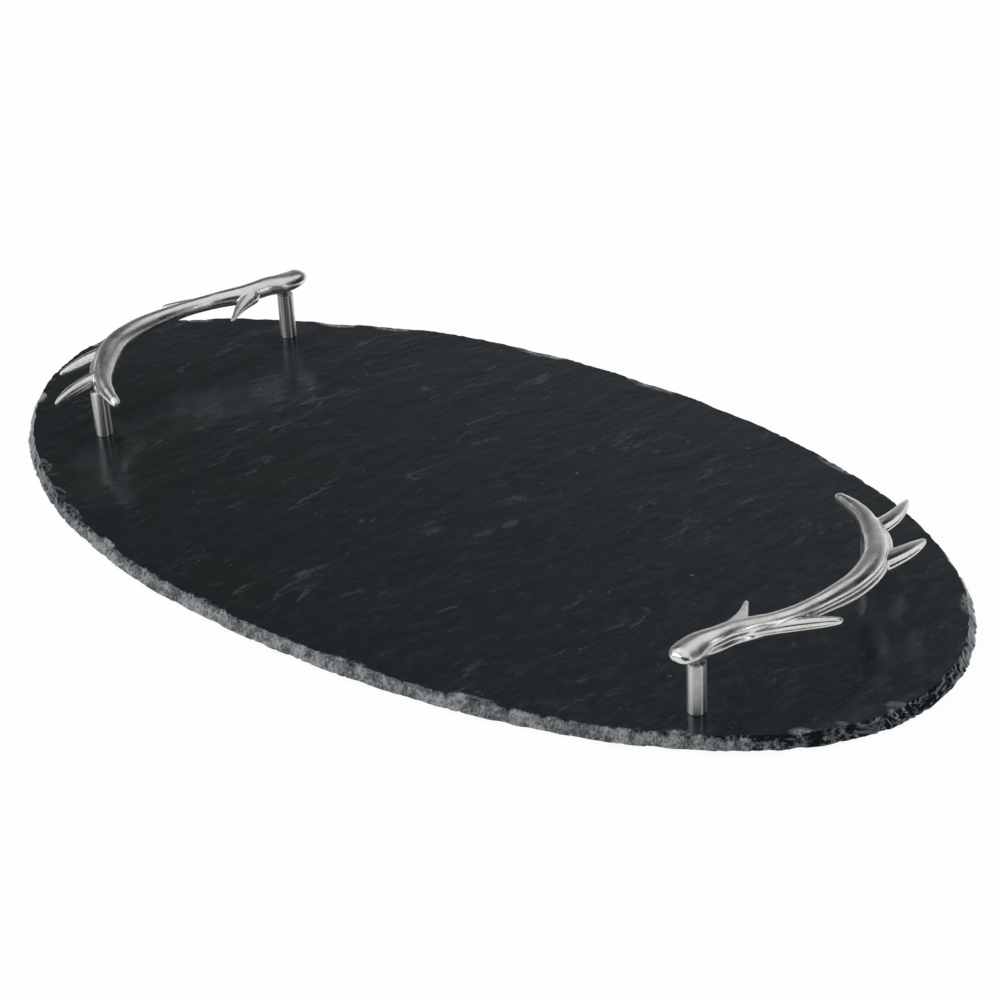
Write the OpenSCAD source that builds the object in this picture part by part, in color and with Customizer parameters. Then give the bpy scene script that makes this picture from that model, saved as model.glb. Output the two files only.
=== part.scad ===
// Oval slate serving board with two cast antler handles.
// Each handle stands on two round posts. A screw runs up from under the slate,
// through a post and into the antler, so the board comes apart from below.
// The board rests on six soft feet. The right handle's burr is at the front and
// the left handle's at the rear: it is one casting, used twice.

/* [Slate] */
// Length of the oval slate
board_length = 500; // [470:1:560]
// Width of the oval slate
board_width = 269; // [246:1:320]
// Thickness of the slate
board_thick = 5.4; // [5:0.1:8]
// How far the chipped rim slopes in from the underside to the top
rim_slope = 3; // [2.2:0.1:5]
// How deep the large chips bite into the rim
chip_depth = 0.9; // [0.3:0.1:1.5]
// How far one cleaved layer of the rim strays from the next
layer_stray = 0.2; // [0.05:0.05:0.25]
// Power of the oval, where 2 is a true ellipse
oval_power = 2.12; // [2:0.02:2.6]
// How far the rim is cut back at the rear left, as a share of the oval's radius
flat_share = 0.064; // [0:0.002:0.07]

/* [Handles] */
// Distance of the right handle's posts from the board's right end
right_inset = 68.4; // [66:0.1:85]
// Shift of the right handle along the board's width
right_shift = -12.8; // [-16:0.1:16]
// Distance of the left handle's posts from the board's left end
left_inset = 76.8; // [70:0.1:85]
// Shift of the left handle along the board's width
left_shift = 8.5; // [-16:0.1:16]
// Angle by which the left handle was screwed on askew
left_skew = 1.1; // [-3:0.1:3]
// Distance between the two posts of a handle
post_pitch = 124; // [100:1:135]
// Clear height of a post, from the slate to the antler
post_height = 23; // [16:0.1:40]
// Diameter of a post
post_d = 7.8; // [7:0.1:9]
// Chamfer at both ends of a post
post_chamfer = 0.4; // [0.1:0.1:0.8]

/* [Antler] */
// How far the middle of the beam bows out past the posts
antler_bow = 23.5; // [12:0.5:34]
// Height of the beam's middle line above the posts
antler_rise = 5.3; // [4.5:0.1:9]
// Half the thickness of the beam
beam_r = 4.9; // [4.4:0.1:6.5]
// Length of the longest tine
tine_reach = 29.5; // [18:0.5:38]
// Half the thickness of a tine at its root
tine_r = 3.5; // [2.5:0.1:4.4]
// Width added round a post by the boss that it butts against
boss_wall = 0.4; // [0.2:0.1:0.8]

/* [Fasteners] */
// Diameter of the screw's thread
screw_d = 4; // [3:0.5:5]
// Diameter of the screw's head
head_d = 7.6; // [6.5:0.1:8]
// Height of the screw's head
head_height = 2.2; // [1.6:0.1:2.6]
// Width across the flats of the hexagon socket
hex_flats = 2.5; // [2:0.1:3]
// Depth of the hexagon socket
hex_depth = 1.2; // [0.8:0.1:1.4]
// Outside diameter of the washer
washer_d = 9; // [8.5:0.1:10]
// Thickness of the washer
washer_thick = 0.8; // [0.5:0.1:1]
// Depth of the recess in the underside that takes the washer and the head
recess_depth = 2.5; // [1.5:0.1:3]
// Length of thread that the antler holds
thread_grip = 3; // [2.5:0.1:3.5]

/* [Feet] */
// Diameter of a foot
foot_d = 12; // [8:0.5:16]
// Height of a foot
foot_height = 2; // [1.5:0.1:4]
// Rounding of a foot's lower edge
foot_round = 0.5; // [0.2:0.1:0.8]
// Distance of the end feet inward from the line through a handle's posts
foot_gap = 32; // [20:1:60]
// Distance of the end feet from the level of the board's long edges
foot_edge = 68; // [60:1:90]
// Distance of the middle feet from the board's long edges
foot_mid_edge = 22; // [18:1:50]

/* [Hidden] */

$fn = 48;
// Running clearance round the screw, in the slate, the posts and the thread
screw_clear = 0.15;
thread_clear = 0.05;
// Clearance round a washer in its recess, and round a post in the antler
washer_clear = 0.5;
seat_clear = 0.1;
// Overrun of every cut past the face that it opens
over = 0.5;

// Heights, from the surface that the board stands on
slate_base = foot_height;
slate_top = slate_base + board_thick;
recess_top = slate_base + recess_depth;
seat = slate_top + post_height;
screw_top = seat + thread_grip;
bore_top = screw_top + screw_d / 4;

// Places along the board, from its middle
right_out = board_length / 2 - right_inset;
left_out = board_length / 2 - left_inset;
foot_side = board_width / 2 - foot_edge;
foot_mid_side = board_width / 2 - foot_mid_edge;

// The rim is a stack of cleaved layers, each a little smaller than the one below
layer_count = 5;
layer_rise = board_thick / layer_count;
layer_lap = layer_rise / 8;
rim_points = 200;
// Waves of the rim: turns round the board, share of the depth, phase in degrees
chip_shares = [[7, 0.30, 20], [19, 0.28, 140], [33, 0.24, 65], [58, 0.18, 250]];
stray_shares = [[23, 0.40, 10], [47, 0.35, 95], [71, 0.25, 200]];
// The oval was cut by hand, so its radius strays in long waves, as shares of itself
oval_shares = [[2, 0.022, 114], [3, 0.006, 356], [4, 0.009, 170]];
// Where the rim is cut back, and the angle over which the cut fades out
flat_turn = 137;
flat_spread = 19;

function wave(shares, turn, phase) =
    [for (row = shares) row[1] * sin(row[0] * turn + row[2] + phase * row[0])]
        * [for (row = shares) 1];

function oval_radius(turn) =
    (1 + wave(oval_shares, turn, 0) - flat_share * exp(-pow((turn - flat_turn) / flat_spread, 2)))
        / pow(pow(abs(cos(turn)), oval_power) + pow(abs(sin(turn)), oval_power), 1 / oval_power);

function rim_bite(turn, layer) =
    rim_slope * layer / (layer_count - 1)
        + chip_depth * (1 + wave(chip_shares, turn, 0)) / 2
        + layer_stray * wave(stray_shares, turn, layer);

function rim_outline(layer) =
    [for (i = [0 : rim_points - 1])
        let (turn = 360 * i / rim_points, bite = rim_bite(turn, layer))
        oval_radius(turn) * [(board_length / 2 - bite) * cos(turn), (board_width / 2 - bite) * sin(turn)]];

// The lowest layer is moved and stretched until it fills the length and width exactly
base_outline = rim_outline(0);
base_low = [for (axis = [0, 1]) min([for (point = base_outline) point[axis]])];
base_high = [for (axis = [0, 1]) max([for (point = base_outline) point[axis]])];
base_mid = (base_low + base_high) / 2;
base_stretch = [board_length / (base_high[0] - base_low[0]), board_width / (base_high[1] - base_low[1])];

function fitted(outline) =
    [for (point = outline)
        let (moved = point - base_mid)
        [moved[0] * base_stretch[0], moved[1] * base_stretch[1]]];

// Places on a handle: along the posts' line, where the burr's post is at the minus end
burr_end = -post_pitch / 2;
fork_end = post_pitch / 2;

// The beam, from the burr to the main tip, in shares: along the posts' pitch,
// out by the bow, up by the rise, half width and half height by the beam's radius
beam_shares = [
    [-0.595, -0.07, 1.28, 0.26, 0.18],
    [-0.589, -0.07, 1.27, 0.78, 0.46],
    [-0.568, -0.06, 1.22, 1.16, 0.74],
    [-0.530, -0.05, 1.12, 1.34, 0.92],
    [-0.480, 0.00, 1.14, 1.30, 1.00],
    [-0.430, 0.11, 1.20, 1.12, 1.00],
    [-0.370, 0.21, 1.16, 1.03, 0.97],
    [-0.310, 0.36, 1.07, 0.99, 0.95],
    [-0.240, 0.58, 1.00, 0.90, 0.88],
    [-0.150, 0.77, 1.01, 0.84, 0.82],
    [-0.065, 0.89, 1.01, 0.86, 0.86],
    [0.020, 0.97, 0.98, 0.95, 0.94],
    [0.107, 1.01, 0.96, 1.04, 1.00],
    [0.194, 0.97, 0.95, 1.12, 1.06],
    [0.265, 0.86, 0.92, 1.16, 1.08],
    [0.328, 0.68, 0.84, 1.16, 1.04],
    [0.383, 0.47, 0.75, 1.08, 0.94],
    [0.430, 0.24, 0.67, 0.98, 0.88],
    [0.465, 0.05, 0.62, 0.88, 0.82],
    [0.497, -0.18, 0.62, 0.78, 0.76],
    [0.522, -0.41, 0.60, 0.68, 0.66],
    [0.543, -0.66, 0.54, 0.56, 0.56],
    [0.555, -0.83, 0.48, 0.46, 0.46],
    [0.560, -0.92, 0.44, 0.26, 0.26],
];

// The flat palm that joins the beam to the two tines of the fork, in the same shares
palm_shares = [
    [0.250, 0.90, 0.80, 0.50, 0.40],
    [0.300, 0.80, 0.70, 1.05, 0.70],
    [0.360, 0.62, 0.60, 1.20, 0.72],
    [0.410, 0.42, 0.52, 1.15, 0.70],
    [0.450, 0.22, 0.46, 0.90, 0.60],
    [0.480, 0.06, 0.44, 0.50, 0.40],
];

// A tine: root by pitch, bow and rise; tip from the root by the reach, along, out
// and up; thickness, flatness and sideways bend; and how its girth fades to the tip
slim_shares = [0.90, 0.98, 0.92, 0.80, 0.60, 0.34, 0.12];
blunt_shares = [0.55, 0.90, 0.92, 0.88, 0.78, 0.52, 0.20];
fin_shares = [0.55, 0.85, 0.70, 0.46, 0.28, 0.18, 0.08];
tine_shares = [
    [[0.432, 0.22, 0.48], [1.065, -0.05, -0.03], [1.00, 1.05, 0.07], slim_shares],
    [[0.235, 0.84, 0.58], [1.145, 0.20, -0.075], [1.12, 1.05, 0.04], slim_shares],
    [[-0.340, 0.42, 1.20], [1.085, 0.785, -0.088], [0.80, 1.25, -0.06], blunt_shares],
    [[-0.372, 0.19, 1.00], [0.875, -0.338, -0.062], [1.20, 1.35, 0.04], fin_shares],
];
// How far along a tine each ring is
tine_run_shares = [0, 0.15, 0.35, 0.58, 0.80, 0.96, 1];

beam_sides = 20;
tine_sides = 12;
beam_steps = 2;

function beam_places(shares) =
    [for (row = shares)
        [antler_bow * row[1], post_pitch * row[0], antler_rise * row[2], beam_r * row[3], beam_r * row[4]]];

function tine_places(tine) =
    let (
        root = [antler_bow * tine[0][1], post_pitch * tine[0][0], antler_rise * tine[0][2]],
        reach = tine_reach * [tine[1][1], tine[1][0], tine[1][2]],
        aside = tine_reach * tine[2][2] * unit([reach[1], -reach[0], 0])
    )
    [for (i = [0 : len(tine_run_shares) - 1])
        let (
            run = tine_run_shares[i],
            girth = tine_r * tine[2][0] * tine[3][i],
            place = root + reach * run + aside * sin(180 * run)
        )
        [place[0], place[1], place[2], girth * tine[2][1], girth]];

// A smooth curve through rows of a table
function row_at(rows, i) = rows[max(0, min(len(rows) - 1, i))];
function curve_row(rows, i, part) =
    let (before = row_at(rows, i - 1), here = row_at(rows, i))
    let (next = row_at(rows, i + 1), after = row_at(rows, i + 2))
    (2 * here + (next - before) * part + (2 * before - 5 * here + 4 * next - after) * pow(part, 2)
        + (3 * here - before - 3 * next + after) * pow(part, 3)) / 2;
function curve(rows, steps) =
    [for (i = [0 : len(rows) - 2], k = [0 : steps - 1]) curve_row(rows, i, k / steps), rows[len(rows) - 1]];

function middle(row) = [row[0], row[1], row[2]];
function unit(v) = v / norm(v);
function heading(rows, i) = unit(middle(row_at(rows, i + 1)) - middle(row_at(rows, i - 1)));

// A limb is a tapering tube swept along the rows, closed to a point at both ends
module limb(rows, sides) {
    last = len(rows) - 1;
    tail = len(rows) * sides;
    points = [
        for (i = [0 : last])
            let (ahead = heading(rows, i), across = unit(cross(ahead, [0, 0, 1])))
            let (lift = cross(across, ahead))
            for (j = [0 : sides - 1])
                let (turn = 360 * j / sides)
                middle(rows[i]) + across * rows[i][3] * cos(turn) + lift * rows[i][4] * sin(turn),
        middle(rows[0]), middle(rows[last]),
    ];
    skin = [
        for (i = [0 : last - 1], j = [0 : sides - 1])
            let (here = i * sides + j, beside = i * sides + (j + 1) % sides)
            each [[here, beside + sides, here + sides], [here, beside, beside + sides]],
    ];
    caps = [
        for (j = [0 : sides - 1])
            let (next = (j + 1) % sides)
            each [[tail, next, j], [tail + 1, last * sides + j, last * sides + next]],
    ];
    polyhedron(points = points, faces = concat(skin, caps), convexity = 6);
}

module slate_board() {
    color("#2b3033") difference() {
        for (layer = [0 : layer_count - 1])
            translate([0, 0, slate_base + layer * layer_rise - (layer > 0 ? layer_lap : 0)])
                linear_extrude(layer_rise + (layer > 0 ? layer_lap : 0))
                    polygon(fitted(rim_outline(layer)));
        for (turned = [false, true])
            on_handle(turned)
                for (end = [burr_end, fork_end])
                    translate([0, end, 0]) screw_hole();
    }
}

module screw_hole() {
    translate([0, 0, slate_base - over])
        cylinder(d = screw_d + 2 * screw_clear, h = board_thick + 2 * over);
    translate([0, 0, slate_base - over])
        cylinder(d = washer_d + washer_clear, h = recess_depth + over);
}

module on_handle(turned) {
    if (turned)
        translate([-left_out, left_shift, 0]) rotate([0, 0, 180 - left_skew]) children();
    else
        translate([right_out, right_shift, 0]) children();
}

module antler(turned) {
    color("#a9aaa6") on_handle(turned) translate([0, 0, seat]) difference() {
        union() {
            limb(curve(beam_places(beam_shares), beam_steps), beam_sides);
            limb(curve(beam_places(palm_shares), beam_steps), beam_sides);
            for (tine = tine_shares)
                limb(curve(tine_places(tine), beam_steps), tine_sides);
            for (end = [burr_end, fork_end])
                translate([0, end, 0]) cylinder(r = post_d / 2 + boss_wall, h = antler_rise / 3);
        }
        for (end = [burr_end, fork_end])
            translate([0, end, 0]) post_seat();
    }
}

// The antler is cut flat over a post, and tapped for its screw
module post_seat() {
    translate([0, 0, -antler_rise])
        cylinder(r = post_d / 2 + boss_wall + seat_clear, h = antler_rise);
    translate([0, 0, -over])
        cylinder(r = screw_d / 2 + thread_clear, h = bore_top - seat + over);
}

module post(turned, end) {
    bore = screw_d / 2 + screw_clear;
    color("#b9bab7") on_handle(turned) translate([0, end, slate_top])
        rotate_extrude()
            polygon([
                [bore, 0],
                [post_d / 2 - post_chamfer, 0],
                [post_d / 2, post_chamfer],
                [post_d / 2, post_height - post_chamfer],
                [post_d / 2 - post_chamfer, post_height],
                [bore, post_height],
            ]);
}

module screw(turned, end) {
    head_top = recess_top - washer_thick;
    head_round = head_height / 2;
    color("#8d9093") on_handle(turned) translate([0, end, head_top - head_height]) difference() {
        union() {
            translate([0, 0, head_round]) cylinder(d = head_d, h = head_height - head_round);
            cylinder(d1 = head_d - 2 * head_round, d2 = head_d, h = head_round);
            cylinder(d = screw_d, h = screw_top - head_top + head_height);
        }
        translate([0, 0, -over])
            cylinder(d = hex_flats / cos(30), h = hex_depth + over, $fn = 6);
    }
}

module washer(turned, end) {
    color("#c9cbcc") on_handle(turned) translate([0, end, recess_top - washer_thick]) difference() {
        cylinder(d = washer_d, h = washer_thick);
        translate([0, 0, -over]) cylinder(d = screw_d + 2 * screw_clear, h = washer_thick + 2 * over);
    }
}

module foot(place) {
    color("#1b1b1c") translate(place)
        rotate_extrude()
            polygon([
                [0, 0],
                [foot_d / 2 - foot_round, 0],
                [foot_d / 2, foot_round],
                [foot_d / 2, foot_height],
                [0, foot_height],
            ]);
}

module antler_left() { antler(true); }
module antler_right() { antler(false); }

module post_left_front() { post(true, fork_end); }
module post_left_rear() { post(true, burr_end); }
module post_right_front() { post(false, burr_end); }
module post_right_rear() { post(false, fork_end); }

module screw_left_front() { screw(true, fork_end); }
module screw_left_rear() { screw(true, burr_end); }
module screw_right_front() { screw(false, burr_end); }
module screw_right_rear() { screw(false, fork_end); }

module washer_left_front() { washer(true, fork_end); }
module washer_left_rear() { washer(true, burr_end); }
module washer_right_front() { washer(false, burr_end); }
module washer_right_rear() { washer(false, fork_end); }

module foot_left_front() { foot([foot_gap - left_out, -foot_side, 0]); }
module foot_left_rear() { foot([foot_gap - left_out, foot_side, 0]); }
module foot_middle_front() { foot([0, -foot_mid_side, 0]); }
module foot_middle_rear() { foot([0, foot_mid_side, 0]); }
module foot_right_front() { foot([right_out - foot_gap, -foot_side, 0]); }
module foot_right_rear() { foot([right_out - foot_gap, foot_side, 0]); }

slate_board();
antler_left();
antler_right();
post_left_front();
post_left_rear();
post_right_front();
post_right_rear();
screw_left_front();
screw_left_rear();
screw_right_front();
screw_right_rear();
washer_left_front();
washer_left_rear();
washer_right_front();
washer_right_rear();
foot_left_front();
foot_left_rear();
foot_middle_front();
foot_middle_rear();
foot_right_front();
foot_right_rear();
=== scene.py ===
"""The looks of an oval slate serving board with two cast antler handles.

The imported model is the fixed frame. The slate, the antlers, the posts, the screws
and the feet are built again with finer forms in the places of their nodes, and the
washers keep their own solids. All lengths are in metres.
"""

from __future__ import annotations

import logging
import math
from dataclasses import dataclass, field
from enum import Enum
from typing import Iterable, Sequence

import bmesh
import bpy
import numpy as np
from mathutils import Matrix, Vector, noise

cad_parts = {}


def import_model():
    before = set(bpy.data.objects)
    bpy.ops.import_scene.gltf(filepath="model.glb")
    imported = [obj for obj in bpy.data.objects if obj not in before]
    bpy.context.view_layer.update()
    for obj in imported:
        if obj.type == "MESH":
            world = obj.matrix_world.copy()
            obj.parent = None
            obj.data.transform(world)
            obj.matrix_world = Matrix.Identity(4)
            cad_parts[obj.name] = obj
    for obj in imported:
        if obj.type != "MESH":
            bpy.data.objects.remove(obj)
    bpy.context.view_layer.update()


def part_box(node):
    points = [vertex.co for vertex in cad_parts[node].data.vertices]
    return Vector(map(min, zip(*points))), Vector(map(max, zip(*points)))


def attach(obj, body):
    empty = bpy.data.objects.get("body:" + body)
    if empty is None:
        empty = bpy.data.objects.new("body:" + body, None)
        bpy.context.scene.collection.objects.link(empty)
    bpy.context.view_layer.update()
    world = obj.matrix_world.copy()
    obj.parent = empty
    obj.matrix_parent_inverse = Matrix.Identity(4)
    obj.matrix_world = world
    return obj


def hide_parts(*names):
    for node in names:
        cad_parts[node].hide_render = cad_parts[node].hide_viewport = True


LOG = logging.getLogger("serving_board")
MM = 0.001
DRILL_SIDES = 48

Piece = bpy.types.Object
Node = bpy.types.Node
Socket = bpy.types.NodeSocket
Material = bpy.types.Material
Array = np.ndarray
Numbers = Sequence[float]
Table = Sequence[Numbers]
Colour = tuple[float, float, float]


class Slot(Enum):
    """The record's material slots."""

    SLATE = "slate"
    CAST = "cast_metal"
    POST = "post_metal"
    STEEL = "screw_steel"
    RUBBER = "foot_rubber"


class Side(Enum):
    """The two ends of the board that carry a handle."""

    LEFT = "left"
    RIGHT = "right"


class End(Enum):
    """The two ends of a handle, by the place along its own line."""

    BURR = -1
    FORK = 1


# Node sheets


@dataclass(frozen=True)
class Grain:
    """Plain noise: lumps to the metre, detail and roughness, and the band of it that shows."""

    lumps: float | Socket
    detail: float
    rough: float = 0.55
    low: float = 0.0
    high: float = 1.0


class Sheet:
    """One tree of shader nodes, built by short calls."""

    def __init__(self, tree: bpy.types.NodeTree) -> None:
        """Keep the tree that the calls add to."""
        self.tree = tree

    def join(self, value: object, socket: Socket) -> None:
        """Join an output socket to an input socket, or set the input to a value.

        Args:
            value: The output socket or the value.
            socket: The input socket.
        """
        if isinstance(value, Socket):
            self.tree.links.new(value, socket)
        else:
            socket.default_value = value

    def add(self, kind: str, inputs: dict[str | int, object] | None = None, **settings: object) -> Node:
        """Add a node, set its properties, and set or join its inputs.

        Args:
            kind: The node's Blender type.
            inputs: Values or output sockets by input name or number.
            settings: Properties of the node itself.

        Returns:
            The new node.
        """
        made = self.tree.nodes.new(kind)
        for name, value in settings.items():
            setattr(made, name, value)
        for name, value in (inputs or {}).items():
            self.join(value, made.inputs[name])
        return made

    def sum(self, operation: str, first: object, second: object = 0.0) -> Socket:
        """Return the result of one arithmetic step on two values or sockets."""
        return self.add("ShaderNodeMath", {0: first, 1: second}, operation=operation).outputs[0]

    def times(self, first: object, second: object) -> Socket:
        """Multiply two values or sockets."""
        return self.sum("MULTIPLY", first, second)

    def plus(self, first: object, second: object) -> Socket:
        """Add two values or sockets."""
        return self.sum("ADD", first, second)

    def band(self, value: object, low: float, high: float, start: object = 0.0, end: object = 1.0) -> Socket:
        """Map a value smoothly from one span to another.

        Args:
            value: The socket to map.
            low: The value at which the result is start.
            high: The value at which the result is end.
            start: The result at low.
            end: The result at high.

        Returns:
            The mapped socket.
        """
        settings = {"Value": value, "From Min": low, "From Max": high, "To Min": start, "To Max": end}
        return self.add("ShaderNodeMapRange", settings, interpolation_type="SMOOTHSTEP").outputs["Result"]

    def mix(self, share: object, first: object, second: object) -> Socket:
        """Mix two colours.

        Args:
            share: How much of the second colour shows.
            first: The colour below.
            second: The colour above.

        Returns:
            The mixed colour.
        """
        made = self.add("ShaderNodeMix", data_type="RGBA")
        wanted = {"Factor_Float": share, "A_Color": first, "B_Color": second}
        for socket in made.inputs:
            if socket.identifier in wanted:
                value = wanted[socket.identifier]
                self.join((*value, 1.0) if isinstance(value, tuple) else value, socket)
        return next(item for item in made.outputs if item.identifier == "Result_Color")

    def grain(self, place: object, grain: Grain) -> Socket:
        """Return plain noise at a place."""
        values = {"Vector": place, "Scale": grain.lumps, "Detail": grain.detail, "Roughness": grain.rough}
        return self.add("ShaderNodeTexNoise", values).outputs["Fac"]

    def shown(self, place: object, grain: Grain, start: object = 0.0, end: object = 1.0) -> Socket:
        """Return the band of a grain that shows at a place."""
        return self.band(self.grain(place, grain), grain.low, grain.high, start, end)

    def stretch(self, place: object, turn: float, scale: Numbers) -> Socket:
        """Turn a place about the upright axis, then stretch it."""
        turned = self.add("ShaderNodeMapping", {"Vector": place, "Rotation": (0.0, 0.0, turn)}).outputs[0]
        return self.add("ShaderNodeMapping", {"Vector": turned, "Scale": tuple(scale)}).outputs[0]

    def relief(self, skin: Node, height: object, depth: float, strength: float = 1.0) -> None:
        """Feed a height, with its depth in metres, to a skin's normal."""
        bump = self.add("ShaderNodeBump", {"Height": height, "Distance": depth, "Strength": strength})
        self.join(bump.outputs["Normal"], skin.inputs["Normal"])


def new_group(
    name: str, inputs: dict[str, float | None], outputs: Sequence[str]
) -> tuple[Sheet, dict[str, Socket], dict[str, Socket]]:
    """Start a shader node group with named inputs and outputs.

    Args:
        name: The group's name.
        inputs: The default of each number by its name, or None for a vector.
        outputs: The names of the numbers that it puts out.

    Returns:
        The group's sheet, its input sockets and its output sockets by name.
    """
    tree = bpy.data.node_groups.new(name, "ShaderNodeTree")
    for label, default in inputs.items():
        kind = "NodeSocketVector" if default is None else "NodeSocketFloat"
        socket = tree.interface.new_socket(label, in_out="INPUT", socket_type=kind)
        if default is not None:
            socket.default_value = default
    for label in outputs:
        tree.interface.new_socket(label, in_out="OUTPUT", socket_type="NodeSocketFloat")
    sheet = Sheet(tree)
    entry, leave = sheet.add("NodeGroupInput"), sheet.add("NodeGroupOutput")
    return sheet, {k: entry.outputs[k] for k in inputs}, {k: leave.inputs[k] for k in outputs}


def handled_group() -> bpy.types.NodeTree:
    """Build the marks of handling that every metal piece shares: smears and fine scratches.

    Returns:
        The node group, with the outputs Smear, Scratch and Height.
    """
    name = "marks of handling"
    if name in bpy.data.node_groups:
        return bpy.data.node_groups[name]
    inputs = {"Place": None, "Smear size": 90.0, "Scratch size": 420.0}
    sheet, given, result = new_group(name, inputs, ("Smear", "Scratch", "Height"))
    smears = Grain(given["Smear size"], 4.0, 0.6, 0.35, 0.68)
    smear = sheet.grain(given["Place"], smears)
    sheet.join(sheet.band(smear, smears.low, smears.high), result["Smear"])
    sheet.join(sheet.times(smear, 0.5), result["Height"])
    drawn = sheet.stretch(given["Place"], 0.5, (1.0, 0.12, 1.0))
    scratches = Grain(given["Scratch size"], 2.0, 0.5, 0.60, 0.70)
    sheet.join(sheet.shown(drawn, scratches), result["Scratch"])
    return sheet.tree


# Finishes


@dataclass(frozen=True)
class Finish:
    """A finish that one or more pieces wear."""

    name: str

    def start(self) -> tuple[Material, Sheet, Node, Socket]:
        """Make an empty material.

        Returns:
            The material, its sheet, its Principled node and the place socket in metres.
        """
        made = bpy.data.materials.new(self.name)
        made.use_nodes = True
        made.node_tree.nodes.clear()
        sheet = Sheet(made.node_tree)
        skin = sheet.add("ShaderNodeBsdfPrincipled")
        sheet.add("ShaderNodeOutputMaterial", {"Surface": skin.outputs["BSDF"]})
        place = sheet.add("ShaderNodeTexCoord").outputs["Object"]
        return made, sheet, skin, place


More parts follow.
